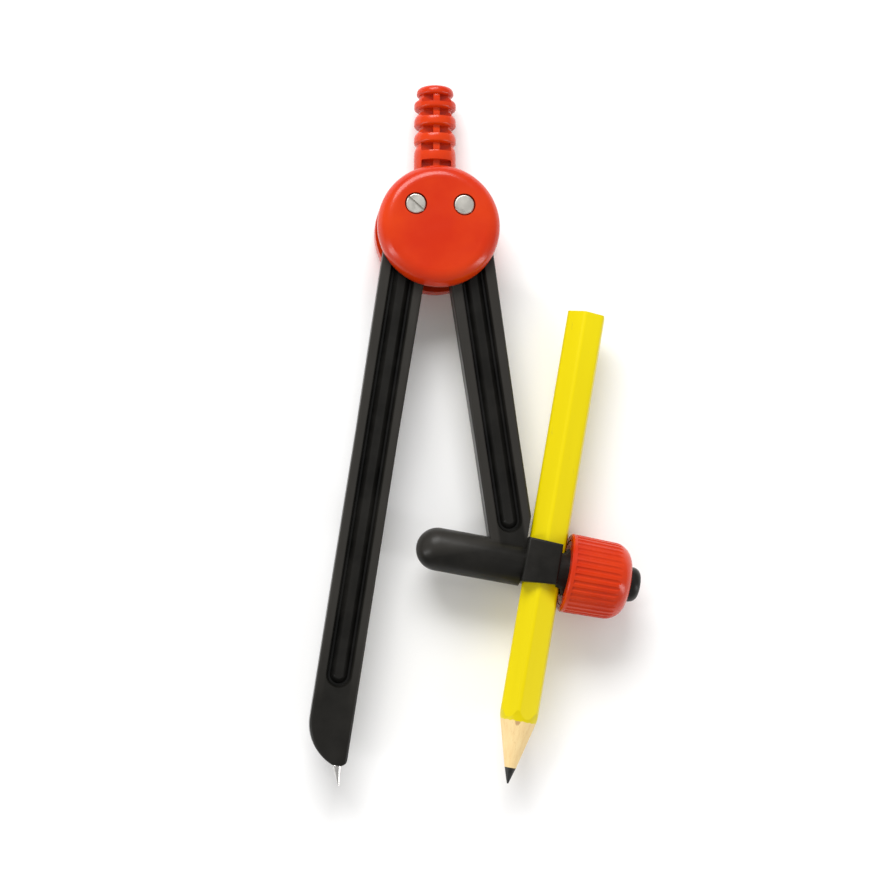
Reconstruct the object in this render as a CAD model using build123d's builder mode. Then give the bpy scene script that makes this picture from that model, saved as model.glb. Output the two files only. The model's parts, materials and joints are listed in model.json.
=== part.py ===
"""School drawing compass lying on its back: two geared legs in a red two-part head, a steel
needle point, and a clamp on the second leg that holds a hexagonal pencil.

Millimetres. X to the right, Y towards the finger grip, Z up, out of the front of the head.
The origin is midway between the two leg pivots, on the flat back of the head.
"""

from build123d import *
import os
from math import acos, atan, cos, radians, sin, tan

# ---------------------------------------------------------------- driving dimensions

# stack through the head, from its back (z = 0) to its front
REAR_CAP_TOP = 5.2
LEG_BOTTOM = 5.4
LEG_TOP = 10.2
FRONT_CAP_BOTTOM = 10.4
HEAD_TOP = 14.0
LEG_MID = (LEG_BOTTOM + LEG_TOP) / 2
LEG_THICK = LEG_TOP - LEG_BOTTOM

# head discs
HEAD_RADIUS = 12.2
HEAD_Y = -3.8
FRONT_ROUND = 3.0
BACK_ROUND = 1.6

# pivots and their screws
PIVOT_X = 4.8
FASTENER_HEAD_R = 2.0
FASTENER_HEAD_THICK = 1.1
HEAD_RECESS_R = 2.2
HEAD_RECESS_DEPTH = 1.25
SLEEVE_R = 1.6
SLEEVE_REACH = 9.9
SCREW_R = 1.0
SCREW_REACH = 8.7
RUNNING_GAP = 0.05
THREAD_GAP = 0.02
SLOT_WIDTH = 0.5
SLOT_DEPTH = 0.45
SLOT_ANGLE = -42
HEAD_RIM_ROUND = 0.25

# washers
WASHER_OUTER_R = 3.4
WASHER_INNER_R = 1.75
WASHER_POCKET_R = 3.6
FLAT_WASHER_THICK = 0.4
FLAT_POCKET_DEPTH = 0.35
SPRING_WASHER_THICK = 0.28
SPRING_WASHER_RISE = 0.32
SPRING_POCKET_DEPTH = 0.5

# legs
LEG_TILT = 8.55
NEEDLE_LEG_WIDTH = 8.4
HOLDER_LEG_WIDTH = 8.8
STEM_OFFSET = 0.2
HUB_R = 4.65
LEG_FLARE = 0.4
LEG_FLARE_END = 45.0
LEG_EDGE_ROUND = 0.6
CHANNEL_WIDTH = 5.1
CHANNEL_DEPTH = 1.3
CHANNEL_DRAFT = 20
CHANNEL_START = 9.5
CROWN_WIDTH = 3.4
CROWN_HEIGHT = 0.8
CROWN_DRAFT = 50
CLOSE_ANGLE = 2.3
OPEN_ANGLE = 37

# gear sectors at the tops of the legs
GEAR_TEETH = 16
PRESSURE_ANGLE = 20
ADDENDUM = 0.54
ROOT_R = 4.05
BACKLASH = 0.1
TOOTH_FOOT = 0.5
RELIEF_GAP = 0.2
NEEDLE_LEG_TEETH = 3
HOLDER_LEG_TEETH = 4
RELIEF_STEPS = 5

# needle leg's boot and needle
NEEDLE_LEG_LENGTH = 110.5
NEEDLE_CHANNEL_END = 95.8
BOOT_ARC_START = 102.0
BOOT_FLAT_LEFT = 1.3
BOOT_CORNER_ROUND = 1.4
NEEDLE_OFFSET = 2.3
NEEDLE_LEAN = 13
NEEDLE_R = 0.9
NEEDLE_CONE = 3.85
NEEDLE_SHANK = 9.0
NEEDLE_TIP_R = 0.12

# clamp: its axis crosses the pencil's axis at the eye
EYE_X = 21.4
EYE_Y = -71.3
CLAMP_TILT = 9.75
HOLDER_STEM_LENGTH = 70.0
HOLDER_CHANNEL_END = 65.2
BARREL_R = 4.25
BARREL_LENGTH = 21.1
BORE_R = 3.0
BORE_DEPTH = 17.0
MOUTH_R = 3.5
MOUTH_DEPTH = 2.0

# pencil
PENCIL_FLATS = 7.3
PENCIL_TOP = 51.5
PENCIL_POINT = -42.4
LEAD_R = 1.12
PENCIL_EDGE_ROUND = 1.0
PENCIL_TURN = 18
WOOD_SLOPE = 0.263
LEAD_BARE = 3.1
LEAD_TIP_R = 0.15

# eye bolt: a block around the pencil, a short ring, the flatted rod and a smooth stub
EYE_GAP = 0.1
EYE_START = -4.5
EYE_END = 2.4
EYE_TOP_LEFT = 5.3
EYE_TOP_RIGHT = 5.0
EYE_BOTTOM_LEFT = -3.5
EYE_BOTTOM_RIGHT = -2.95
EYE_HALF_DEPTH = 5.2
EYE_EDGE_ROUND = 0.5
RING_R = 4.65
RING_END = 5.5
SLOT_STRETCH = 0.2
STEM_END_GAP = 0.5
ROD_R = 4.15
ROD_END = 13.3
STUB_R = 3.45
STUB_END = 19.2
STUB_ROUND = 1.7
ROD_FLAT = 3.7

# knob and what is in it
KNOB_START = 4.25
KNOB_END = 16.9
KNOB_MOUTH_R = 7.8
KNOB_BODY_R = 7.6
KNOB_SHOULDER = 3.9
KNOB_RIM_ROUND = 0.3
KNOB_CAVITY_R = 6.5
NUT_START = 8.7
NUT_FLATS = 11.0
NUT_THICK = 5.0
KNOB_HOLE_R = 3.65
RIB_COUNT = 36
RIB_GROOVE_R = 0.5
RIB_GROOVE_DEPTH = 0.28
RIB_RIM = 0.9
SLEEVE_FLANGE_R = 6.35
SLEEVE_FLANGE_THICK = 1.3
SLEEVE_BODY_R = 5.6
SLEEVE_START = 4.35
SLEEVE_COUNTERBORE_GAP = 0.2

# grip: four bell-shaped steps above a plain foot, and a rounded top rim
GRIP_X = -0.2
GRIP_Z = 4.45
GRIP_FOOT = 6.0
GRIP_BELL_R = 4.25
GRIP_NECK_R = 3.25
GRIP_FIRST_NECK_R = 3.8
GRIP_FIRST_EDGE = 10.45
GRIP_PITCH = 3.59
GRIP_STEPS = 4
GRIP_EDGE_ROUND = 0.55
GRIP_BELL_WALL = 1.1
GRIP_NECK_LENGTH = 0.6
GRIP_NECK_TANGENT = (-0.8, 1)
GRIP_RIM_EDGE = 24.1
GRIP_RIM_R = 3.75
GRIP_TOP = 26.1
GRIP_TOP_ROUND = 1.4
GRIP_TOP_FLAT_R = 0.8
POCKET_WIDTH = 6.0
POCKET_HEIGHT = 1.75
POCKET_DEPTH = 2.2
POCKET_ROUND = 0.3
WEB_WIDTH = 1.3
WEB_SETBACK = 0.9

# pads that hold the caps apart, with their locating pins
TOP_PAD_Y = 5.4
TOP_PAD_R = 1.6
LOW_PAD_Y = -13.0
LOW_PAD_R = 1.1
PAD_PIN_R = 0.7
PAD_PIN_HEIGHT = 1.0

# ---------------------------------------------------------------- planes

CENTRE_DISTANCE = 2 * PIVOT_X
PITCH_R = PIVOT_X
TIP_R = PITCH_R + ADDENDUM
PITCH_ANGLE = 360 / GEAR_TEETH


def leg_plane(side):
    """Plane at a pivot, in the leg's middle, with its -Y along the leg. side is -1 or 1."""
    tilt = radians(LEG_TILT)
    return Plane(origin=(side * PIVOT_X, 0, LEG_MID), x_dir=(cos(tilt), side * sin(tilt), 0), z_dir=(0, 0, 1))


needle_plane = leg_plane(-1)
holder_plane = leg_plane(1)

# the clamp's axis is this plane's X, the pencil's axis is its Y
clamp_x = Vector(cos(radians(CLAMP_TILT)), -sin(radians(CLAMP_TILT)), 0)
clamp_plane = Plane(origin=(EYE_X, EYE_Y, LEG_MID), x_dir=clamp_x, z_dir=(0, 0, 1))
clamp_axis = Axis(clamp_plane.origin, clamp_plane.x_dir)
pencil_plane = Plane(origin=clamp_plane.origin, x_dir=clamp_plane.x_dir, z_dir=clamp_plane.y_dir)


def across_clamp(distance):
    """Plane square to the clamp's axis, at a distance along it from the pencil's axis."""
    start = clamp_plane.from_local_coords((distance, 0, 0))
    return Plane(origin=start, x_dir=clamp_plane.y_dir, z_dir=clamp_plane.x_dir)


def save(builder, name):
    """Label a finished piece and write it."""
    builder.part.label = name
    export_step(builder.part, f"parts/{name}.step")


os.makedirs("parts", exist_ok=True)

# ---------------------------------------------------------------- head


def bell_edges():
    """Heights of the grip's undercut edges, from the head to the top rim."""
    return [GRIP_FIRST_EDGE + step * GRIP_PITCH for step in range(GRIP_STEPS)] + [GRIP_RIM_EDGE]


def draw_grip_outline():
    """Half outline of the grip: each bell has a rounded lower edge, a short wall and a curve in to a neck."""
    edges = bell_edges()
    Line((0, GRIP_FOOT), (GRIP_BELL_R, GRIP_FOOT))
    Line((GRIP_BELL_R, GRIP_FOOT), (GRIP_BELL_R, edges[0] + GRIP_BELL_WALL))
    for step in range(GRIP_STEPS):
        edge, next_edge = edges[step], edges[step + 1]
        neck_r = GRIP_NECK_R if step else GRIP_FIRST_NECK_R
        next_r = GRIP_RIM_R if step == GRIP_STEPS - 1 else GRIP_BELL_R
        wall_top = (GRIP_BELL_R, edge + GRIP_BELL_WALL)
        neck_start = (neck_r, next_edge - GRIP_NECK_LENGTH)
        if step:
            Line((GRIP_BELL_R, edge + GRIP_EDGE_ROUND), wall_top)
        Spline(wall_top, neck_start, tangents=((0, 1), GRIP_NECK_TANGENT))
        Line(neck_start, (neck_r, next_edge))
        edge_start = (next_r - GRIP_EDGE_ROUND, next_edge)
        Line((neck_r, next_edge), edge_start)
        TangentArc(edge_start, (next_r, next_edge + GRIP_EDGE_ROUND), tangent=(1, 0))
    rim_top = (GRIP_RIM_R, GRIP_TOP - GRIP_TOP_ROUND)
    top_edge = (GRIP_TOP_FLAT_R, GRIP_TOP)
    rim_bottom = (GRIP_RIM_R, GRIP_RIM_EDGE + GRIP_EDGE_ROUND)
    Line(rim_bottom, rim_top)
    Spline(rim_top, top_edge, tangents=((0, 1), (-1, 0)))
    Line(top_edge, (0, GRIP_TOP))
    Line((0, GRIP_TOP), (0, GRIP_FOOT))


with BuildPart() as rear_cap:
    with BuildSketch():
        with Locations((0, HEAD_Y)):
            Circle(HEAD_RADIUS)
    extrude(amount=REAR_CAP_TOP)
    fillet(rear_cap.faces().sort_by(Axis.Z)[0].edges(), BACK_ROUND)

    # grip, turned about its own axis
    with BuildSketch(Plane((GRIP_X, 0, GRIP_Z))):
        with BuildLine():
            draw_grip_outline()
        make_face()
    revolve(axis=Axis((GRIP_X, 0, GRIP_Z), (0, 1, 0)))

    # pockets in the grip's front and back, either side of a central web
    for face_side in (1, -1):
        floor = GRIP_Z + face_side * (GRIP_BELL_R - POCKET_DEPTH)
        web_top = GRIP_Z + face_side * (GRIP_BELL_R - WEB_SETBACK)
        with BuildSketch(Plane.XY.offset(floor)) as pockets:
            for edge in bell_edges():
                with Locations((GRIP_X, edge - POCKET_HEIGHT / 2)):
                    RectangleRounded(POCKET_WIDTH, POCKET_HEIGHT, POCKET_ROUND)
                    Rectangle(WEB_WIDTH, POCKET_HEIGHT, mode=Mode.SUBTRACT)
        extrude(amount=face_side * POCKET_DEPTH, mode=Mode.SUBTRACT)
        with BuildSketch(Plane.XY.offset(web_top)):
            for edge in bell_edges():
                with Locations((GRIP_X, edge - POCKET_HEIGHT / 2)):
                    Rectangle(WEB_WIDTH, POCKET_HEIGHT)
        extrude(amount=face_side * POCKET_DEPTH, mode=Mode.SUBTRACT)

    # pads that reach the front cap, each with a locating pin
    with BuildSketch(Plane.XY.offset(REAR_CAP_TOP)):
        with Locations((0, TOP_PAD_Y)):
            Circle(TOP_PAD_R)
        with Locations((0, LOW_PAD_Y)):
            Circle(LOW_PAD_R)
    extrude(amount=FRONT_CAP_BOTTOM - REAR_CAP_TOP)
    with BuildSketch(Plane.XY.offset(FRONT_CAP_BOTTOM)):
        with Locations((0, TOP_PAD_Y), (0, LOW_PAD_Y)):
            Circle(PAD_PIN_R)
    extrude(amount=PAD_PIN_HEIGHT)

    # fastener recesses, sleeve holes and spring washer pockets
    with BuildSketch():
        with Locations((-PIVOT_X, 0), (PIVOT_X, 0)):
            Circle(HEAD_RECESS_R)
    extrude(amount=HEAD_RECESS_DEPTH, mode=Mode.SUBTRACT)
    with BuildSketch():
        with Locations((-PIVOT_X, 0), (PIVOT_X, 0)):
            Circle(SLEEVE_R + RUNNING_GAP)
    extrude(amount=REAR_CAP_TOP, mode=Mode.SUBTRACT)
    with BuildSketch(Plane.XY.offset(REAR_CAP_TOP)):
        with Locations((-PIVOT_X, 0), (PIVOT_X, 0)):
            Circle(WASHER_POCKET_R)
    extrude(amount=-SPRING_POCKET_DEPTH, mode=Mode.SUBTRACT)
save(rear_cap, "rear_cap")

with BuildPart() as front_cap:
    with BuildSketch(Plane.XY.offset(FRONT_CAP_BOTTOM)):
        with Locations((0, HEAD_Y)):
            Circle(HEAD_RADIUS)
    extrude(amount=HEAD_TOP - FRONT_CAP_BOTTOM)
    fillet(front_cap.faces().sort_by(Axis.Z)[-1].edges(), FRONT_ROUND)
    with BuildSketch(Plane.XY.offset(FRONT_CAP_BOTTOM)):
        with Locations((0, TOP_PAD_Y), (0, LOW_PAD_Y)):
            Circle(PAD_PIN_R + RUNNING_GAP)
    extrude(amount=PAD_PIN_HEIGHT + RUNNING_GAP, mode=Mode.SUBTRACT)
    with BuildSketch(Plane.XY.offset(HEAD_TOP)):
        with Locations((-PIVOT_X, 0), (PIVOT_X, 0)):
            Circle(HEAD_RECESS_R)
    extrude(amount=-HEAD_RECESS_DEPTH, mode=Mode.SUBTRACT)
    with BuildSketch(Plane.XY.offset(FRONT_CAP_BOTTOM)):
        with Locations((-PIVOT_X, 0), (PIVOT_X, 0)):
            Circle(SLEEVE_R + RUNNING_GAP)
    extrude(amount=HEAD_TOP - FRONT_CAP_BOTTOM, mode=Mode.SUBTRACT)
    with BuildSketch(Plane.XY.offset(FRONT_CAP_BOTTOM)):
        with Locations((-PIVOT_X, 0), (PIVOT_X, 0)):
            Circle(WASHER_POCKET_R)
    extrude(amount=FLAT_POCKET_DEPTH, mode=Mode.SUBTRACT)
save(front_cap, "front_cap")

# ---------------------------------------------------------------- pivot fasteners and washers


def fastener_plane(side, from_front):
    """Plane on the seat of a fastener head, with its Z pointing into the head of the compass."""
    if from_front:
        seat_height, way_in = HEAD_TOP - HEAD_RECESS_DEPTH, (0, 0, -1)
    else:
        seat_height, way_in = HEAD_RECESS_DEPTH, (0, 0, 1)
    return Plane(origin=(side * PIVOT_X, 0, seat_height), x_dir=(1, 0, 0), z_dir=way_in)


def pivot_screw(side, from_front):
    """Slotted screw: round head outside, shank inwards."""
    seat = fastener_plane(side, from_front)
    with BuildPart() as screw:
        with BuildSketch(seat):
            Circle(FASTENER_HEAD_R)
        extrude(amount=-FASTENER_HEAD_THICK)
        fillet(screw.edges().group_by(Axis(seat.origin, seat.z_dir))[0], HEAD_RIM_ROUND)
        with BuildSketch(seat):
            Circle(SCREW_R)
        extrude(amount=SCREW_REACH)
        with BuildSketch(seat.offset(-FASTENER_HEAD_THICK)):
            slot_angle = -SLOT_ANGLE if from_front else SLOT_ANGLE
            Rectangle(2 * HEAD_RECESS_R, SLOT_WIDTH, rotation=slot_angle)
        extrude(amount=SLOT_DEPTH, mode=Mode.SUBTRACT)
    return screw


def sleeve_nut(side, from_front):
    """Round head outside, and the threaded sleeve that the leg turns on."""
    seat = fastener_plane(side, from_front)
    with BuildPart() as nut:
        with BuildSketch(seat):
            Circle(FASTENER_HEAD_R)
        extrude(amount=-FASTENER_HEAD_THICK)
        fillet(nut.edges().group_by(Axis(seat.origin, seat.z_dir))[0], HEAD_RIM_ROUND)
        with BuildSketch(seat):
            Circle(SLEEVE_R)
        extrude(amount=SLEEVE_REACH)
        with BuildSketch(seat.offset(SLEEVE_REACH)):
            Circle(SCREW_R + THREAD_GAP)
        extrude(amount=-SCREW_REACH, mode=Mode.SUBTRACT)
    return nut


save(pivot_screw(-1, True), "left_pivot_screw")
save(sleeve_nut(-1, False), "left_sleeve_nut")
save(pivot_screw(1, False), "right_pivot_screw")
save(sleeve_nut(1, True), "right_sleeve_nut")


def flat_washer(side):
    """Flat ring in the front cap's pocket."""
    with BuildPart() as washer:
        with BuildSketch(Plane.XY.offset(FRONT_CAP_BOTTOM + FLAT_POCKET_DEPTH)):
            with Locations((side * PIVOT_X, 0)):
                Circle(WASHER_OUTER_R)
                Circle(WASHER_INNER_R, mode=Mode.SUBTRACT)
        extrude(amount=-FLAT_WASHER_THICK)
    return washer


def spring_washer(side):
    """Coned ring in the rear cap's pocket: its rim on the cap, its inner edge towards the leg."""
    base = REAR_CAP_TOP - SPRING_POCKET_DEPTH
    with BuildPart() as washer:
        with BuildSketch(Plane.XZ):
            with BuildLine():
                Polyline(
                    (side * PIVOT_X + WASHER_OUTER_R, base),
                    (side * PIVOT_X + WASHER_OUTER_R, base + SPRING_WASHER_THICK),
                    (side * PIVOT_X + WASHER_INNER_R, base + SPRING_WASHER_THICK + SPRING_WASHER_RISE),
                    (side * PIVOT_X + WASHER_INNER_R, base + SPRING_WASHER_RISE),
                    close=True,
                )
            make_face()
        revolve(axis=Axis((side * PIVOT_X, 0, 0), (0, 0, 1)))
    return washer


for side, side_name in ((-1, "left"), (1, "right")):
    save(flat_washer(side), f"{side_name}_front_washer")
    save(spring_washer(side), f"{side_name}_spring_washer")

# ---------------------------------------------------------------- legs


def tooth_point(radius, centre_angle, flank):
    """Point on a tooth's involute flank. flank is -1 or 1, angles are in degrees."""
    base_r = PITCH_R * cos(radians(PRESSURE_ANGLE))

    def involute(r):
        roll = acos(min(1, base_r / r))
        return tan(roll) - roll

    thickness = radians(180) * PITCH_R / GEAR_TEETH - BACKLASH / 2
    half_angle = thickness / (2 * PITCH_R) + involute(PITCH_R) - involute(radius)
    angle = radians(centre_angle) + flank * half_angle
    return (radius * cos(angle), radius * sin(angle))


def gear_teeth(side, inner_angles):
    """Sketch of the teeth on a hub. The angles are from the leg's inner side, upwards."""
    foot_r = ROOT_R - TOOTH_FOOT
    middle_r = (ROOT_R + TIP_R) / 2
    with BuildSketch() as teeth:
        for inner_angle in inner_angles:
            centre = inner_angle if side < 0 else 180 - inner_angle
            radii = (foot_r, ROOT_R, middle_r, TIP_R)
            low = [tooth_point(radius, centre, -1) for radius in radii]
            high = [tooth_point(radius, centre, 1) for radius in radii]
            with BuildLine():
                Line(low[0], low[1])
                ThreePointArc(low[1], low[2], low[3])
                Line(low[3], high[3])
                ThreePointArc(high[3], high[2], high[1])
                Line(high[1], high[0])
                Line(high[0], low[0])
            make_face()
    return teeth.sketch


def leg_hub(side, inner_angles):
    """Round top of a leg: cut back where the other leg's teeth pass, then given its own teeth."""
    bottom = leg_plane(side).offset(-LEG_THICK / 2)
    first = LEG_TILT - CLOSE_ANGLE
    sweep_angle = CLOSE_ANGLE + OPEN_ANGLE
    start = first if side < 0 else 180 - first - sweep_angle
    with BuildSketch(bottom) as blank:
        Circle(HUB_R)
    extrude(blank.sketch, amount=LEG_THICK)
    with BuildSketch(bottom) as relief:
        with PolarLocations(CENTRE_DISTANCE, RELIEF_STEPS, start, sweep_angle, endpoint=True):
            Circle(TIP_R + RELIEF_GAP)
    extrude(relief.sketch, amount=LEG_THICK, mode=Mode.SUBTRACT)
    with BuildSketch(bottom) as toothed_rim:
        Circle(ROOT_R)
        add(gear_teeth(side, inner_angles))
    extrude(toothed_rim.sketch, amount=LEG_THICK)
    with BuildSketch(bottom) as hole:
        Circle(SLEEVE_R + RUNNING_GAP)
    extrude(hole.sketch, amount=LEG_THICK, mode=Mode.SUBTRACT)


def leg_channels(side, channel_end):
    """Round-ended channel in the leg's front and back, each with a low crown along its floor."""
    plane = leg_plane(side)
    length = channel_end - CHANNEL_START
    middle = (side * STEM_OFFSET, -(channel_end + CHANNEL_START) / 2)
    trim = CHANNEL_WIDTH - CROWN_WIDTH
    for face_side in (1, -1):
        with BuildSketch(plane.offset(face_side * LEG_THICK / 2)) as channel:
            with Locations(middle):
                SlotOverall(length, CHANNEL_WIDTH, rotation=90)
        depth = -face_side * CHANNEL_DEPTH
        extrude(channel.sketch, amount=depth, taper=CHANNEL_DRAFT, mode=Mode.SUBTRACT)
        with BuildSketch(plane.offset(face_side * (LEG_THICK / 2 - CHANNEL_DEPTH))) as crown:
            with Locations(middle):
                SlotOverall(length - trim, CROWN_WIDTH, rotation=90)
        extrude(crown.sketch, amount=face_side * CROWN_HEIGHT, taper=CROWN_DRAFT)


def round_stem(builder):
    """Round the long edges of a plain stem, front and back, but not its end inside the head."""
    faces = builder.faces().sort_by(Axis.Z)
    for face in (faces[0], faces[-1]):
        fillet(face.edges().sort_by(Axis.Y)[:-1], LEG_EDGE_ROUND)


# the needle leans inwards from the leg's line, so that it stands upright with the legs apart
needle_base = needle_plane.from_local_coords((NEEDLE_OFFSET, -NEEDLE_LEG_LENGTH, 0))
needle_turn = radians(NEEDLE_LEAN - LEG_TILT)
needle_way = Vector(sin(needle_turn), -cos(needle_turn), 0)
needle_axis = Axis(needle_base, needle_way)
needle_sketch_plane = Plane(origin=needle_base, x_dir=needle_way.cross(Vector(0, 0, 1)), z_dir=(0, 0, 1))


def needle_shape(extra):
    """The needle about its own axis: shank inside the boot, cone outside, grown by extra."""
    with BuildPart() as shape:
        with BuildSketch(needle_sketch_plane):
            with BuildLine():
                Polyline(
                    (0, -NEEDLE_SHANK - extra),
                    (NEEDLE_R + extra, -NEEDLE_SHANK - extra),
                    (NEEDLE_R + extra, 0),
                    (NEEDLE_TIP_R, NEEDLE_CONE),
                    (0, NEEDLE_CONE),
                    close=True,
                )
            make_face()
        revolve(axis=needle_axis)
    return shape


needle = needle_shape(0)
save(needle, "needle")

with BuildPart() as needle_leg:
    outer = -STEM_OFFSET - NEEDLE_LEG_WIDTH / 2
    inner = -STEM_OFFSET + NEEDLE_LEG_WIDTH / 2
    corner = BOOT_CORNER_ROUND
    with BuildSketch(needle_plane.offset(-LEG_THICK / 2)):
        with BuildLine():
            Line((inner + LEG_FLARE, 0), (outer - LEG_FLARE, 0))
            Line((outer - LEG_FLARE, 0), (outer, -LEG_FLARE_END))
            Line((outer, -LEG_FLARE_END), (outer, -BOOT_ARC_START))
            TangentArc((outer, -BOOT_ARC_START), (BOOT_FLAT_LEFT, -NEEDLE_LEG_LENGTH), tangent=(0, -1))
            Line((BOOT_FLAT_LEFT, -NEEDLE_LEG_LENGTH), (inner - corner, -NEEDLE_LEG_LENGTH))
            TangentArc(
                (inner - corner, -NEEDLE_LEG_LENGTH),
                (inner, -NEEDLE_LEG_LENGTH + corner),
                tangent=(1, 0),
            )
            Line((inner, -NEEDLE_LEG_LENGTH + corner), (inner, -LEG_FLARE_END))
            Line((inner, -LEG_FLARE_END), (inner + LEG_FLARE, 0))
        make_face()
    extrude(amount=LEG_THICK)
    round_stem(needle_leg)
    leg_hub(-1, [LEG_TILT + PITCH_ANGLE * tooth for tooth in range(NEEDLE_LEG_TEETH)])
    leg_channels(-1, NEEDLE_CHANNEL_END)
    add(needle_shape(THREAD_GAP).part, mode=Mode.SUBTRACT)
save(needle_leg, "needle_leg")

pencil_half = PENCIL_FLATS / 2
barrel_end = EYE_START

with BuildPart() as holder_leg:
    with BuildSketch(holder_plane.offset(-LEG_THICK / 2)):
        inner = STEM_OFFSET - HOLDER_LEG_WIDTH / 2
        outer = STEM_OFFSET + HOLDER_LEG_WIDTH / 2
        with BuildLine():
            Polyline(
                (inner - LEG_FLARE, 0),
                (outer + LEG_FLARE, 0),
                (outer, -LEG_FLARE_END),
                (outer, -HOLDER_STEM_LENGTH),
                (inner, -HOLDER_STEM_LENGTH),
                (inner, -LEG_FLARE_END),
                close=True,
            )
        make_face()
    extrude(amount=LEG_THICK)
    round_stem(holder_leg)
    leg_hub(1, [LEG_TILT + PITCH_ANGLE * (tooth - 0.5) for tooth in range(HOLDER_LEG_TEETH)])
    leg_channels(1, HOLDER_CHANNEL_END)
    with BuildSketch(clamp_plane):
        with BuildLine():
            Line((barrel_end, 0), (barrel_end, BARREL_R))
            Line((barrel_end, BARREL_R), (barrel_end - BARREL_LENGTH + BARREL_R, BARREL_R))
            TangentArc(
                (barrel_end - BARREL_LENGTH + BARREL_R, BARREL_R),
                (barrel_end - BARREL_LENGTH, 0),
                tangent=(-1, 0),
            )
            Line((barrel_end - BARREL_LENGTH, 0), (barrel_end, 0))
        make_face()
    revolve(axis=clamp_axis)
    # the leg stops in the plane of the barrel's end, where the pencil passes
    with BuildSketch(across_clamp(barrel_end)):
        Rectangle(4 * BARREL_LENGTH, 4 * BARREL_LENGTH)
    extrude(amount=PENCIL_FLATS, mode=Mode.SUBTRACT)
    with BuildSketch(across_clamp(barrel_end)):
        Circle(BORE_R)
    extrude(amount=-BORE_DEPTH, mode=Mode.SUBTRACT)
    with BuildSketch(across_clamp(barrel_end)):
        Circle(MOUTH_R)
    extrude(amount=-MOUTH_DEPTH, mode=Mode.SUBTRACT)
save(holder_leg, "holder_leg")

# ---------------------------------------------------------------- eye bolt

with BuildPart() as eye_bolt:
    # eye block, a little lower towards the rod
    with BuildSketch(clamp_plane.offset(-EYE_HALF_DEPTH)):
        with BuildLine():
            Polyline(
                (EYE_START, EYE_BOTTOM_LEFT),
                (EYE_END, EYE_BOTTOM_RIGHT),
                (EYE_END, EYE_TOP_RIGHT),
                (EYE_START, EYE_TOP_LEFT),
                close=True,
            )
        make_face()
    extrude(amount=2 * EYE_HALF_DEPTH)
    block_faces = eye_bolt.faces().sort_by(Axis.Z)
    fillet(block_faces[0].edges() + block_faces[-1].edges(), EYE_EDGE_ROUND)
    # ring that joins the block to the rod
    with BuildSketch(across_clamp(EYE_END)):
        Circle(RING_R)
    extrude(amount=RING_END - EYE_END)
    # slot for the pencil: its hexagon, drawn out a little towards the rod
    with BuildSketch(pencil_plane.offset(-2 * EYE_TOP_LEFT)):
        with Locations((0, 0), (SLOT_STRETCH, 0)):
            RegularPolygon(pencil_half + EYE_GAP, 6, major_radius=False, rotation=PENCIL_TURN)
        make_hull()
    extrude(amount=4 * EYE_TOP_LEFT, mode=Mode.SUBTRACT)
    # head and stem inside the barrel
    with BuildSketch(across_clamp(barrel_end)):
        Circle(MOUTH_R - THREAD_GAP)
    extrude(amount=-MOUTH_DEPTH + THREAD_GAP)
    with BuildSketch(across_clamp(barrel_end - MOUTH_DEPTH + THREAD_GAP)):
        Circle(BORE_R - THREAD_GAP)
    extrude(amount=-BORE_DEPTH + MOUTH_DEPTH + STEM_END_GAP)
    # rod with its flat, and the smooth stub that passes the knob's end wall
    with BuildSketch(across_clamp(RING_END)):
        Circle(ROD_R)
        with Locations((0, -ROD_FLAT - ROD_R)):
            Rectangle(3 * ROD_R, 2 * ROD_R, mode=Mode.SUBTRACT)
    extrude(amount=ROD_END - RING_END)
    with BuildSketch(across_clamp(ROD_END)):
        Circle(STUB_R)
    extrude(amount=STUB_END - ROD_END)
    fillet(eye_bolt.edges().group_by(Axis(clamp_plane.origin, clamp_plane.x_dir))[-1], STUB_ROUND)
save(eye_bolt, "eye_bolt")

# ---------------------------------------------------------------- knob, its nut and the pressure sleeve

with BuildPart() as clamp_knob:
    shoulder_start = KNOB_END - KNOB_SHOULDER
    with BuildSketch(clamp_plane):
        with BuildLine():
            Polyline(
                (KNOB_END, KNOB_BODY_R - KNOB_SHOULDER),
                (KNOB_END, KNOB_HOLE_R),
                (NUT_START, KNOB_HOLE_R),
                (NUT_START, KNOB_CAVITY_R),
                (KNOB_START, KNOB_CAVITY_R),
                (KNOB_START, KNOB_MOUTH_R - KNOB_RIM_ROUND),
                (KNOB_START + KNOB_RIM_ROUND, KNOB_MOUTH_R),
                (shoulder_start, KNOB_BODY_R),
            )
            TangentArc(
                (shoulder_start, KNOB_BODY_R),
                (KNOB_END, KNOB_BODY_R - KNOB_SHOULDER),
                tangent=(1, 0),
            )
        make_face()
    revolve(axis=clamp_axis)
    with BuildSketch(across_clamp(NUT_START)):
        RegularPolygon(NUT_FLATS / 2, 6, major_radius=False)
    extrude(amount=NUT_THICK, mode=Mode.SUBTRACT)
    # grip grooves along the outside, following its slight taper
    groove_length = shoulder_start - KNOB_START
    groove_lean = atan((KNOB_MOUTH_R - KNOB_BODY_R) / groove_length)
    groove_start = clamp_plane.from_local_coords(
        (KNOB_START + RIB_RIM, KNOB_MOUTH_R + RIB_GROOVE_R - RIB_GROOVE_DEPTH, 0)
    )
    groove_way = clamp_plane.x_dir * cos(groove_lean) - clamp_plane.y_dir * sin(groove_lean)
    with BuildPart(mode=Mode.PRIVATE) as groove:
        with BuildSketch(Plane(origin=groove_start, z_dir=groove_way)):
            Circle(RIB_GROOVE_R)
        extrude(amount=groove_length + KNOB_SHOULDER)
    for rib in range(RIB_COUNT):
        add(groove.part.rotate(clamp_axis, (rib + 0.5) * 360 / RIB_COUNT), mode=Mode.SUBTRACT)
save(clamp_knob, "clamp_knob")

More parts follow.
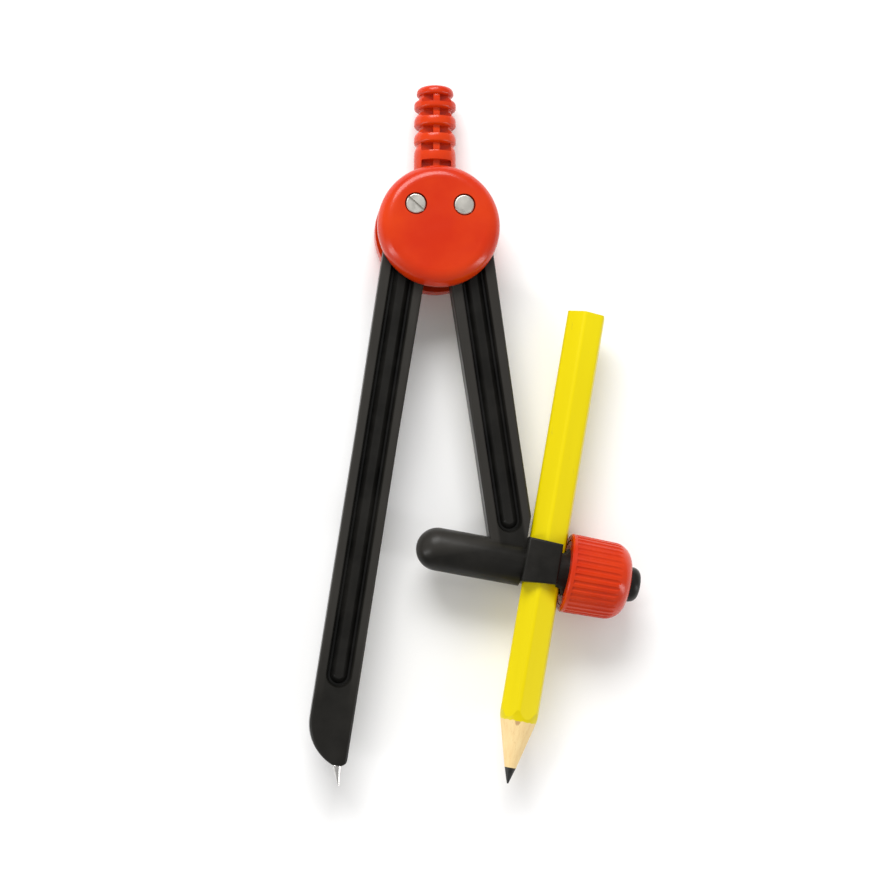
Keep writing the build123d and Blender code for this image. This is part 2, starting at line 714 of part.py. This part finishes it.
with BuildPart() as knob_nut:
    with BuildSketch(across_clamp(NUT_START)):
        RegularPolygon(NUT_FLATS / 2, 6, major_radius=False)
        Circle(ROD_R + RUNNING_GAP, mode=Mode.SUBTRACT)
    extrude(amount=NUT_THICK)
save(knob_nut, "knob_nut")

with BuildPart() as pressure_sleeve:
    sleeve_end = NUT_START - RUNNING_GAP
    body_length = sleeve_end - SLEEVE_START
    for radius, length in ((SLEEVE_FLANGE_R, SLEEVE_FLANGE_THICK), (SLEEVE_BODY_R, body_length)):
        with BuildSketch(across_clamp(SLEEVE_START)):
            Circle(radius)
        extrude(amount=length)
    with BuildSketch(across_clamp(SLEEVE_START)):
        Circle(ROD_R + RUNNING_GAP)
        with Locations((0, -ROD_FLAT - RUNNING_GAP - ROD_R)):
            Rectangle(3 * ROD_R, 2 * ROD_R, mode=Mode.SUBTRACT)
    extrude(amount=body_length, mode=Mode.SUBTRACT)
    with BuildSketch(across_clamp(SLEEVE_START)):
        Circle(RING_R + RUNNING_GAP)
    extrude(amount=RING_END + SLEEVE_COUNTERBORE_GAP - SLEEVE_START, mode=Mode.SUBTRACT)
save(pressure_sleeve, "pressure_sleeve")

# ---------------------------------------------------------------- pencil


def pencil_piece(outline_radius, hexagonal):
    """A rod along the pencil's axis, sharpened to a wooden cone and a blunter lead."""
    wood_end = PENCIL_POINT + LEAD_BARE
    with BuildPart() as piece:
        with BuildSketch(pencil_plane.offset(PENCIL_POINT)):
            if hexagonal:
                hexagon = RegularPolygon(outline_radius, 6, major_radius=False, rotation=PENCIL_TURN)
                fillet(hexagon.vertices(), PENCIL_EDGE_ROUND)
            else:
                Circle(outline_radius)
        extrude(amount=PENCIL_TOP - PENCIL_POINT)
        with BuildSketch(clamp_plane):
            with BuildLine():
                Polyline(
                    (0, PENCIL_POINT),
                    (LEAD_TIP_R, PENCIL_POINT),
                    (LEAD_R, wood_end),
                    (PENCIL_FLATS, wood_end + (PENCIL_FLATS - LEAD_R) / WOOD_SLOPE),
                    (PENCIL_FLATS, PENCIL_TOP),
                    (0, PENCIL_TOP),
                    close=True,
                )
            make_face()
        revolve(axis=Axis(clamp_plane.origin, clamp_plane.y_dir), mode=Mode.INTERSECT)
    return piece


pencil_lead = pencil_piece(LEAD_R, False)
save(pencil_lead, "pencil_lead")

for half_name, keep in (("front", Keep.TOP), ("rear", Keep.BOTTOM)):
    with BuildPart() as slat:
        add(pencil_piece(pencil_half, True))
        add(pencil_lead.part, mode=Mode.SUBTRACT)
        split(bisect_by=Plane.XY.offset(LEG_MID), keep=keep)
    save(slat, f"pencil_{half_name}_slat")
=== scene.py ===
"""Looks of the drawing compass: finishes, softened moulded edges, pale floor, soft light and camera.

Metres, in the frame of the CAD model: the compass lies on its back, Y towards the grip, Z up.
"""

import json
from math import atan2, cos, radians, sin

import bmesh
import bpy
from mathutils import Matrix, Vector


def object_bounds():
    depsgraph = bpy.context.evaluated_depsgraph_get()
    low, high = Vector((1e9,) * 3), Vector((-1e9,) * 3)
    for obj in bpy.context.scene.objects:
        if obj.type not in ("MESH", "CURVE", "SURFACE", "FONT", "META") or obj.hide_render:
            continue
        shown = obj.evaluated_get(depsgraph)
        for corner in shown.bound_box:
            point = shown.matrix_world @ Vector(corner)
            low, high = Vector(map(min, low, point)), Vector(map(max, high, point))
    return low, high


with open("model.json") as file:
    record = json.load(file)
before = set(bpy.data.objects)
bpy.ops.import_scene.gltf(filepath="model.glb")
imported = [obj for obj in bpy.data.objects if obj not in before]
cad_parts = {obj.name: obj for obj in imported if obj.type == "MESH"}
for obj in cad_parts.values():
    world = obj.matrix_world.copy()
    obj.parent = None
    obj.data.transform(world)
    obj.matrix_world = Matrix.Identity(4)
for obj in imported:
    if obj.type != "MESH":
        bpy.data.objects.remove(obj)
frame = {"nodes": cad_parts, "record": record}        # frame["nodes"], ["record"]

CAD_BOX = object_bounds()
MM = 0.001
NODES = frame["nodes"]
JOINTS = {joint["name"]: joint for joint in frame["record"]["behaviour"]["joints"]}

# ---------------------------------------------------------------- places taken from the frame

EYE = Vector(JOINTS["knob_turn"]["pos_m"])
CLAMP_WAY = Vector(JOINTS["knob_turn"]["axis"]).normalized()
CLAMP_TURN = atan2(CLAMP_WAY.y, CLAMP_WAY.x)
PENCIL_WAY = Vector((-CLAMP_WAY.y, CLAMP_WAY.x, 0))
PIVOT_X = JOINTS["holder_leg_swing"]["pos_m"][0]
LEG_MID = EYE.z

# ---------------------------------------------------------------- places of the finishes

NEEDLE_SIDE = -1
HOLDER_SIDE = 1
LEG_TILT = radians(8.55)
STEM_OFFSET = 0.2 * MM
# half-widths between which a leg's rail, painted paler as a sheen, begins
RAIL_EDGE = (2.3 * MM, 2.8 * MM)
# heights from the leg's middle between which the channel's deep black, a painted shade, ends
CHANNEL_EDGE = (1.15 * MM, 2.3 * MM)
# how far down from its pivot each leg's rails carry the painted sheen, and the length over which that
# fades
RAIL_SHEEN_LENGTH = {NEEDLE_SIDE: (84 * MM, 16 * MM), HOLDER_SIDE: (66 * MM, 2 * MM)}
# the pencil's places are measured from the eye: across, along and up
PAINT_END = -30.2 * MM
PAINT_EDGE = 0.06 * MM
KNOT_PLACE = Vector((-0.5, -30.4, 3.4)) * MM
KNOT_SIZE = Vector((0.55, 0.7, 1.4)) * MM

# ---------------------------------------------------------------- material helper

# sockets of the mix node, whose colour and number sockets share their names
MIX_COLOURS = (6, 7)
MIX_COLOUR_OUT = 2
MIX_NUMBERS = (2, 3)
MIX_NUMBER_OUT = 0
# most of a noise texture's values lie between these
NOISE_LOW = 0.3
NOISE_HIGH = 0.7


class Paint:
    """A material's node tree, with short calls for the nodes that the finishes are made of."""

    def __init__(self, name, colour, roughness, metallic=0.0, specular=0.5):
        self.material = bpy.data.materials.new(name)
        self.material.use_nodes = True
        self.tree = self.material.node_tree
        self.shader = self.tree.nodes["Principled BSDF"]
        self.shader.inputs["Base Color"].default_value = (*colour, 1)
        self.shader.inputs["Roughness"].default_value = roughness
        self.shader.inputs["Metallic"].default_value = metallic
        self.shader.inputs["Specular IOR Level"].default_value = specular
        self.coordinates = self.tree.nodes.new("ShaderNodeTexCoord").outputs["Object"]

    def feed(self, socket, value):
        """Link an output to a socket, or set a plain value on it."""
        if isinstance(value, bpy.types.NodeSocket):
            self.tree.links.new(value, socket)
        else:
            socket.default_value = (*value, 1) if isinstance(value, tuple) else value

    def local(self, origin=(0, 0, 0), turn=0.0, stretch=(1, 1, 1)):
        """Coordinates about another origin, turned about Z, each axis divided by its stretch."""
        node = self.tree.nodes.new("ShaderNodeMapping")
        node.vector_type = "TEXTURE"
        node.inputs["Location"].default_value = origin
        node.inputs["Rotation"].default_value = (0, 0, turn)
        node.inputs["Scale"].default_value = stretch
        self.feed(node.inputs["Vector"], self.coordinates)
        return node.outputs["Vector"]

    def along_pencil(self, stretch=1, turn=0.0):
        """Coordinates about the eye, with Y along the pencil and divided by the stretch."""
        return self.local(EYE, CLAMP_TURN + turn, (1, stretch, 1))

    def noise(self, scale, detail, where=None, roughness=0.5):
        """Noise with about scale grains to the metre."""
        node = self.tree.nodes.new("ShaderNodeTexNoise")
        node.inputs["Scale"].default_value = scale
        node.inputs["Detail"].default_value = detail
        node.inputs["Roughness"].default_value = roughness
        self.feed(node.inputs["Vector"], where or self.coordinates)
        return node.outputs["Fac"]

    def maths(self, operation, first, second=0.0, third=0.0):
        """Result of a math node."""
        node = self.tree.nodes.new("ShaderNodeMath")
        node.operation = operation
        for socket, value in zip(node.inputs, (first, second, third)):
            self.feed(socket, value)
        return node.outputs["Value"]

    def squares(self, values):
        """Sum of the squares of some values."""
        total = 0.0
        for value in values:
            total = self.maths("ADD", total, self.maths("POWER", value, 2))
        return total

    def ranged(self, value, low, high, out_low=0.0, out_high=1.0):
        """value from low..high to out_low..out_high, held at both ends."""
        node = self.tree.nodes.new("ShaderNodeMapRange")
        limits = {"From Min": low, "From Max": high, "To Min": out_low, "To Max": out_high}
        for name, number in limits.items():
            node.inputs[name].default_value = number
        self.feed(node.inputs["Value"], value)
        return node.outputs["Result"]

    def varied(self, noise, least=0.0, most=1.0):
        """Noise spread over least..most."""
        return self.ranged(noise, NOISE_LOW, NOISE_HIGH, least, most)

    def mixed(self, data_type, sockets, factor, values):
        """Mix node with a factor and two values on the given sockets."""
        node = self.tree.nodes.new("ShaderNodeMix")
        node.data_type = data_type
        self.feed(node.inputs["Factor"], factor)
        for socket, value in zip(sockets, values):
            self.feed(node.inputs[socket], value)
        return node.outputs

    def mix(self, factor, first, second):
        """Two colours mixed by a factor."""
        return self.mixed("RGBA", MIX_COLOURS, factor, (first, second))[MIX_COLOUR_OUT]

    def mix_numbers(self, factor, first, second):
        """Two numbers mixed by a factor."""
        return self.mixed("FLOAT", MIX_NUMBERS, factor, (first, second))[MIX_NUMBER_OUT]

    def parts(self, vector):
        """X, Y and Z of a vector."""
        node = self.tree.nodes.new("ShaderNodeSeparateXYZ")
        self.feed(node.inputs["Vector"], vector)
        return node.outputs

    def colour(self, value):
        self.feed(self.shader.inputs["Base Color"], value)

    def roughness(self, value):
        self.feed(self.shader.inputs["Roughness"], value)

    def bump(self, height, distance, strength):
        node = self.tree.nodes.new("ShaderNodeBump")
        node.inputs["Distance"].default_value = distance
        node.inputs["Strength"].default_value = strength
        self.feed(node.inputs["Height"], height)
        self.feed(self.shader.inputs["Normal"], node.outputs["Normal"])


# ---------------------------------------------------------------- finishes

RED = (0.55, 0.030, 0.0)
RED_DEEP = (0.51, 0.020, 0.0)
RED_WARM = (0.58, 0.036, 0.001)
# painted shade: the deep black of a leg's channel
BLACK_CHANNEL_SHADE = (0.0015, 0.0015, 0.0013)
BLACK_PLAIN = (0.0075, 0.0070, 0.0058)
# painted sheen: the paler black of a leg's rails
BLACK_RAIL_SHEEN = (0.027, 0.025, 0.022)
BLACK_DUST = (0.034, 0.032, 0.028)
PLATED_STEEL = (0.62, 0.60, 0.55)
SPRING_STEEL = (0.42, 0.42, 0.43)
BRASS = (0.72, 0.52, 0.20)
DULL_METAL = 0.84
NEEDLE_STEEL = (0.66, 0.655, 0.64)
NEEDLE_BRIGHT = (0.70, 0.69, 0.67)
NEEDLE_DARK = (0.52, 0.51, 0.50)
LACQUER = (0.72, 0.58, 0.0)
LACQUER_DEEP = (0.66, 0.53, 0.0)
LACQUER_BRIGHT = (0.74, 0.61, 0.0)
LACQUER_SCUFFED = (0.50, 0.40, 0.02)
CEDAR_DARK = (0.80, 0.56, 0.26)
CEDAR_LIGHT = (0.90, 0.70, 0.36)
CEDAR_FIBRE = (0.55, 0.33, 0.14)
CEDAR_KNOT = (0.42, 0.22, 0.10)
CEDAR_ROUGHNESS = 0.72
GRAPHITE = (0.022, 0.022, 0.020)
GRAPHITE_DARK = (0.009, 0.009, 0.008)
GRAPHITE_LIGHT = (0.026, 0.026, 0.024)
PAPER = (0.93, 0.93, 0.93)
PAPER_DARK = (0.925, 0.925, 0.925)
PAPER_LIGHT = (0.945, 0.945, 0.945)


def red_plastic(name, skin_strength):
    """Glossy orange-red moulding: faint clouding, light handling marks and a very fine skin."""
    paint = Paint(name, RED, roughness=0.22, specular=0.3)
    cloud = paint.ranged(paint.noise(scale=90, detail=4), low=0.35, high=0.65)
    paint.colour(paint.mix(cloud, RED_DEEP, RED_WARM))
    handling = paint.noise(scale=320, detail=5, where=paint.local(turn=0.5, stretch=(3, 1, 2)))
    paint.roughness(paint.varied(handling, least=0.17, most=0.28))
    if skin_strength:
        paint.bump(paint.noise(scale=5200, detail=2), distance=0.006 * MM, strength=skin_strength)
    return paint.material


def leg_black(paint, side):
    """Colour of a leg: deep black in the channel as painted shade, plain around it and paler on the rails
    as a painted sheen.
    """
    leg = paint.local((side * PIVOT_X, 0, LEG_MID), side * LEG_TILT)
    across, along, height = paint.parts(leg)
    beside = paint.maths("ABSOLUTE", paint.maths("SUBTRACT", across, side * STEM_OFFSET))
    rail = paint.ranged(beside, *RAIL_EDGE)
    length, fade = RAIL_SHEEN_LENGTH[side]
    stem = paint.ranged(along, -length - fade, -length)
    # painted shade: the black deepens towards the channel's floor, away from the leg's faces
    out_of_shade = paint.ranged(paint.maths("ABSOLUTE", height), *CHANNEL_EDGE)
    # painted sheen: the rails are painted paler down the stem
    rail_sheen = paint.maths("MULTIPLY", paint.maths("MULTIPLY", rail, stem), 0.9)
    return paint.mix(rail_sheen, paint.mix(out_of_shade, BLACK_CHANNEL_SHADE, BLACK_PLAIN), BLACK_RAIL_SHEEN)


def black_plastic(name, side=None):
    """Satin black moulding, with a fine grain and a little dust. A leg has its side as well, for the
    painted shade in its channel and the painted sheen on its rails.
    """
    paint = Paint(name, BLACK_PLAIN, roughness=0.4, specular=0.18)
    dust = paint.ranged(paint.noise(scale=140, detail=6, roughness=0.65), low=0.40, high=0.75)
    # a leg's base colour holds its painted channel shade and painted rail sheen
    base, dustiness = (leg_black(paint, side), 0.25) if side else (BLACK_PLAIN, 0.4)
    paint.colour(paint.mix(paint.maths("MULTIPLY", dust, dustiness), base, BLACK_DUST))
    rub = paint.noise(scale=420, detail=4, where=paint.local(turn=0.1, stretch=(1, 7, 1)))
    paint.roughness(paint.varied(rub, least=0.28, most=0.44))
    grain = paint.noise(scale=6500, detail=3)
    paint.bump(paint.maths("MULTIPLY_ADD", rub, 0.7, grain), distance=0.010 * MM, strength=0.6)
    return paint.material


def turned_metal(name, colour, roughness, radians_per_metre):
    """Turned metal: sine rings about both pivots, with fine random wear across them."""
    paint = Paint(name, colour, roughness, metallic=1.0)
    x, y, _ = paint.parts(paint.coordinates)
    beside = paint.maths("SUBTRACT", paint.maths("ABSOLUTE", x), PIVOT_X)
    radius = paint.maths("SQRT", paint.squares((beside, y)))
    rings = paint.maths("SINE", paint.maths("MULTIPLY", radius, radians_per_metre))
    worn = paint.noise(scale=620, detail=3)
    dull = tuple(DULL_METAL * part for part in colour)
    paint.colour(paint.mix(paint.ranged(worn, low=0.35, high=0.75), colour, dull))
    paint.roughness(paint.varied(worn, least=roughness - 0.08, most=roughness + 0.12))
    paint.bump(paint.maths("MULTIPLY_ADD", rings, 0.4, worn), distance=0.006 * MM, strength=0.6)
    return paint.material


def needle_steel():
    """Ground and polished steel, with faint grinding lines around it."""
    paint = Paint("needle_steel", NEEDLE_STEEL, roughness=0.14, metallic=1.0)
    lines = paint.noise(scale=3000, detail=2, where=paint.local(stretch=(4, 1, 4)))
    paint.colour(paint.mix(paint.ranged(lines, low=0.4, high=0.7), NEEDLE_BRIGHT, NEEDLE_DARK))
    paint.roughness(paint.varied(lines, least=0.10, most=0.22))
    paint.bump(lines, distance=0.003 * MM, strength=0.4)
    return paint.material


def lacquer_colour(paint, shade):
    """Yellow lacquer, a little uneven, with scuffs along the stick."""
    lacquer = paint.mix(paint.varied(shade), LACQUER_DEEP, LACQUER_BRIGHT)
    marks = paint.noise(scale=700, detail=6, where=paint.along_pencil(5, turn=0.3), roughness=0.7)
    scuffs = paint.ranged(marks, low=0.66, high=0.74)
    return paint.mix(paint.maths("MULTIPLY", scuffs, 0.55), lacquer, LACQUER_SCUFFED)


def cedar_colour(paint, grain):
    """Bare cedar with its grain, darker fibres and one small knot just below the lacquer."""
    cedar = paint.mix(paint.ranged(grain, low=0.2, high=0.75), CEDAR_DARK, CEDAR_LIGHT)
    threads = paint.noise(scale=5200, detail=3, where=paint.along_pencil(22))
    fibres = paint.ranged(threads, low=0.60, high=0.72)
    cedar = paint.mix(paint.maths("MULTIPLY", fibres, 0.3), cedar, CEDAR_FIBRE)
    knot_centre = EYE + from_eye(KNOT_PLACE)
    from_knot = paint.parts(paint.local(knot_centre, CLAMP_TURN, KNOT_SIZE))
    edge = paint.maths("ADD", paint.squares(from_knot), paint.noise(scale=2500, detail=3))
    knot = paint.ranged(edge, low=0.9, high=1.6, out_low=0.75, out_high=0.0)
    return paint.mix(knot, cedar, CEDAR_KNOT)


def pencil_finish():
    """Yellow lacquer on the stick, and bare cedar where the point is cut."""
    paint = Paint("pencil_lacquer_and_wood", LACQUER, roughness=0.3, specular=0.2)
    along = paint.parts(paint.along_pencil())["Y"]
    unevenness = paint.maths("SUBTRACT", paint.noise(scale=1500, detail=4), 0.5)
    edge = paint.maths("ADD", along, paint.maths("MULTIPLY", unevenness, 0.5 * MM))
    wood = paint.ranged(edge, PAINT_END - PAINT_EDGE, PAINT_END + PAINT_EDGE, 1.0, 0.0)

    shade = paint.noise(scale=110, detail=3, where=paint.along_pencil(9))
    grain = paint.noise(scale=1400, detail=5, where=paint.along_pencil(14), roughness=0.6)
    paint.colour(paint.mix(wood, lacquer_colour(paint, shade), cedar_colour(paint, grain)))
    gloss = paint.varied(shade, least=0.26, most=0.38)
    paint.roughness(paint.mix_numbers(wood, gloss, CEDAR_ROUGHNESS))
    relief = paint.maths("MULTIPLY_ADD", grain, wood, paint.maths("MULTIPLY", shade, 0.3))
    paint.bump(relief, distance=0.03 * MM, strength=0.5)
    return paint.material


def graphite():
    """Sharpened graphite: dark, slightly shiny, with marks along the cut."""
    paint = Paint("graphite", GRAPHITE, roughness=0.42, metallic=0.25)
    cut = paint.noise(scale=2600, detail=4, where=paint.along_pencil(8))
    paint.colour(paint.mix(paint.ranged(cut, low=0.35, high=0.7), GRAPHITE_DARK, GRAPHITE_LIGHT))
    paint.roughness(paint.varied(cut, least=0.34, most=0.55))
    paint.bump(cut, distance=0.02 * MM, strength=0.6)
    return paint.material


def pale_paper():
    """Matt paper with a fine tooth."""
    paint = Paint("pale_paper", PAPER, roughness=0.8)
    tooth = paint.noise(scale=1800, detail=4)
    paint.colour(paint.mix(tooth, PAPER_DARK, PAPER_LIGHT))
    paint.bump(tooth, distance=0.02 * MM, strength=0.2)
    return paint.material


def from_eye(place):
    """Offset from the eye, given across, along and up from the pencil, in the frame's directions."""
    return CLAMP_WAY * place.x + PENCIL_WAY * place.y + Vector((0, 0, place.z))


def dress(names, material):
    """Give CAD nodes a finish."""
    for name in names:
        mesh = NODES[name].data
        mesh.materials.clear()
        mesh.materials.append(material)


PLATED = (
    "left_pivot_screw",
    "left_sleeve_nut",
    "right_pivot_screw",
    "right_sleeve_nut",
    "left_front_washer",
    "right_front_washer",
)
SPRUNG = ("left_spring_washer", "right_spring_washer")
FINISHES = (
    (("rear_cap", "front_cap"), red_plastic("red_moulding", skin_strength=0.4)),
    (("clamp_knob", "pressure_sleeve"), red_plastic("red_inner_moulding", skin_strength=0)),
    (("eye_bolt",), black_plastic("black_moulding")),
    (("needle_leg",), black_plastic("black_needle_leg", NEEDLE_SIDE)),
    (("holder_leg",), black_plastic("black_holder_leg", HOLDER_SIDE)),
    (("pencil_front_slat", "pencil_rear_slat"), pencil_finish()),
    (("pencil_lead",), graphite()),
    (PLATED, turned_metal("plated_steel", PLATED_STEEL, roughness=0.30, radians_per_metre=52000)),
    (SPRUNG, turned_metal("spring_steel", SPRING_STEEL, roughness=0.36, radians_per_metre=30000)),
    (("knob_nut",), turned_metal("turned_brass", BRASS, roughness=0.28, radians_per_metre=40000)),
    (("needle",), needle_steel()),
)

for dressed_names, finish in FINISHES:
    dress(dressed_names, finish)

# ---------------------------------------------------------------- softened moulded edges

SOFT_EDGES = {
    "rear_cap": 0.32 * MM,
    "needle_leg": 0.18 * MM,
    "holder_leg": 0.18 * MM,
    "eye_bolt": 0.12 * MM,
}
WELD_REACH = 0.002 * MM
EDGE_STEPS = 3
SHARP_FROM = radians(32)


def soften(name, width):
    """Round a moulding's sharp edges a little, as the tool leaves them."""
    node = NODES[name]
    weld = node.modifiers.new("weld", "WELD")
    weld.merge_threshold = WELD_REACH
    bevel = node.modifiers.new("soft_edges", "BEVEL")
    bevel.width = width
    bevel.segments = EDGE_STEPS
    bevel.limit_method = "ANGLE"
    bevel.angle_limit = SHARP_FROM
    bevel.use_clamp_overlap = True
    bevel.harden_normals = True


for soft_name, soft_width in SOFT_EDGES.items():
    soften(soft_name, soft_width)

# ---------------------------------------------------------------- floor

FLOOR_DROP = 0.05 * MM
FLOOR_HALF = 0.9


def floor():
    """Plain pale sheet under the compass."""
    mesh = bpy.data.meshes.new("floor")
    shape = bmesh.new()
    corners = [(-1, -1), (1, -1), (1, 1), (-1, 1)]
    level = CAD_BOX[0][2] - FLOOR_DROP
    shape.faces.new([shape.verts.new((FLOOR_HALF * x, FLOOR_HALF * y, level)) for x, y in corners])
    shape.to_mesh(mesh)
    shape.free()
    mesh.materials.append(pale_paper())
    sheet = bpy.data.objects.new("floor", mesh)
    bpy.context.collection.objects.link(sheet)


floor()

# ---------------------------------------------------------------- lights

CENTRE = (Vector(CAD_BOX[0]) + Vector(CAD_BOX[1])) / 2
# name, place from the centre, width, height, watts
LIGHTS = (
    ("key_above", (-0.12, 0.50, 0.45), 0.50, 0.28, 4.6),
    ("fill_left", (-0.52, -0.18, 0.24), 0.10, 0.45, 1.1),
    ("fill_right", (0.52, -0.24, 0.24), 0.10, 0.45, 1.1),
)
SKY_COLOUR = (1.0, 0.99, 0.98, 1)
SKY_STRENGTH = 0.52


def area_light(name, place, width, height, watts):
    """Soft box aimed at the compass."""
    data = bpy.data.lights.new(name, "AREA")
    data.shape = "RECTANGLE"
    data.size = width
    data.size_y = height
    data.energy = watts
    lamp = bpy.data.objects.new(name, data)
    lamp.location = CENTRE + Vector(place)
    lamp.rotation_euler = (-Vector(place)).to_track_quat("-Z", "Y").to_euler()
    bpy.context.collection.objects.link(lamp)


for light in LIGHTS:
    area_light(*light)

world = bpy.data.worlds.new("studio")
world.use_nodes = True
sky = world.node_tree.nodes["Background"]
sky.inputs["Color"].default_value = SKY_COLOUR
sky.inputs["Strength"].default_value = SKY_STRENGTH
bpy.context.scene.world = world
bpy.context.scene.view_settings.view_transform = "Standard"

# ---------------------------------------------------------------- camera

IMAGE_WIDTH = 872
# in millimetres, as the lens is
SENSOR_WIDTH = 36
CAMERA_DISTANCE = 0.400
CAMERA_AZIMUTH = radians(-5.7)
CAMERA_ELEVATION = radians(-6.4)
CAMERA_ROLL = radians(0.25)
PIXELS_PER_METRE = 5000
NEAREST_SEEN = 0.01
AIM = Vector((0, 0, LEG_MID))
AIM_RIGHT = 0.24 * MM
AIM_UP = 45.06 * MM


def camera():
    """Long lens almost straight above, level with the middle of the picture."""
    back = Vector(
        (
            sin(CAMERA_AZIMUTH) * cos(CAMERA_ELEVATION),
            sin(CAMERA_ELEVATION),
            cos(CAMERA_AZIMUTH) * cos(CAMERA_ELEVATION),
        )
    )
    right = Vector((0, 1, 0)).cross(back).normalized()
    up = back.cross(right)
    right, up = (
        right * cos(CAMERA_ROLL) + up * sin(CAMERA_ROLL),
        up * cos(CAMERA_ROLL) - right * sin(CAMERA_ROLL),
    )
    data = bpy.data.cameras.new("camera")
    data.sensor_width = SENSOR_WIDTH
    data.lens = SENSOR_WIDTH * PIXELS_PER_METRE * CAMERA_DISTANCE / IMAGE_WIDTH
    data.clip_start = NEAREST_SEEN
    view = bpy.data.objects.new("camera", data)
    place = AIM + back * CAMERA_DISTANCE - right * AIM_RIGHT - up * AIM_UP
    view.matrix_world = Matrix.Translation(place) @ Matrix((right, up, back)).transposed().to_4x4()
    bpy.context.collection.objects.link(view)
    bpy.context.scene.camera = view


camera()
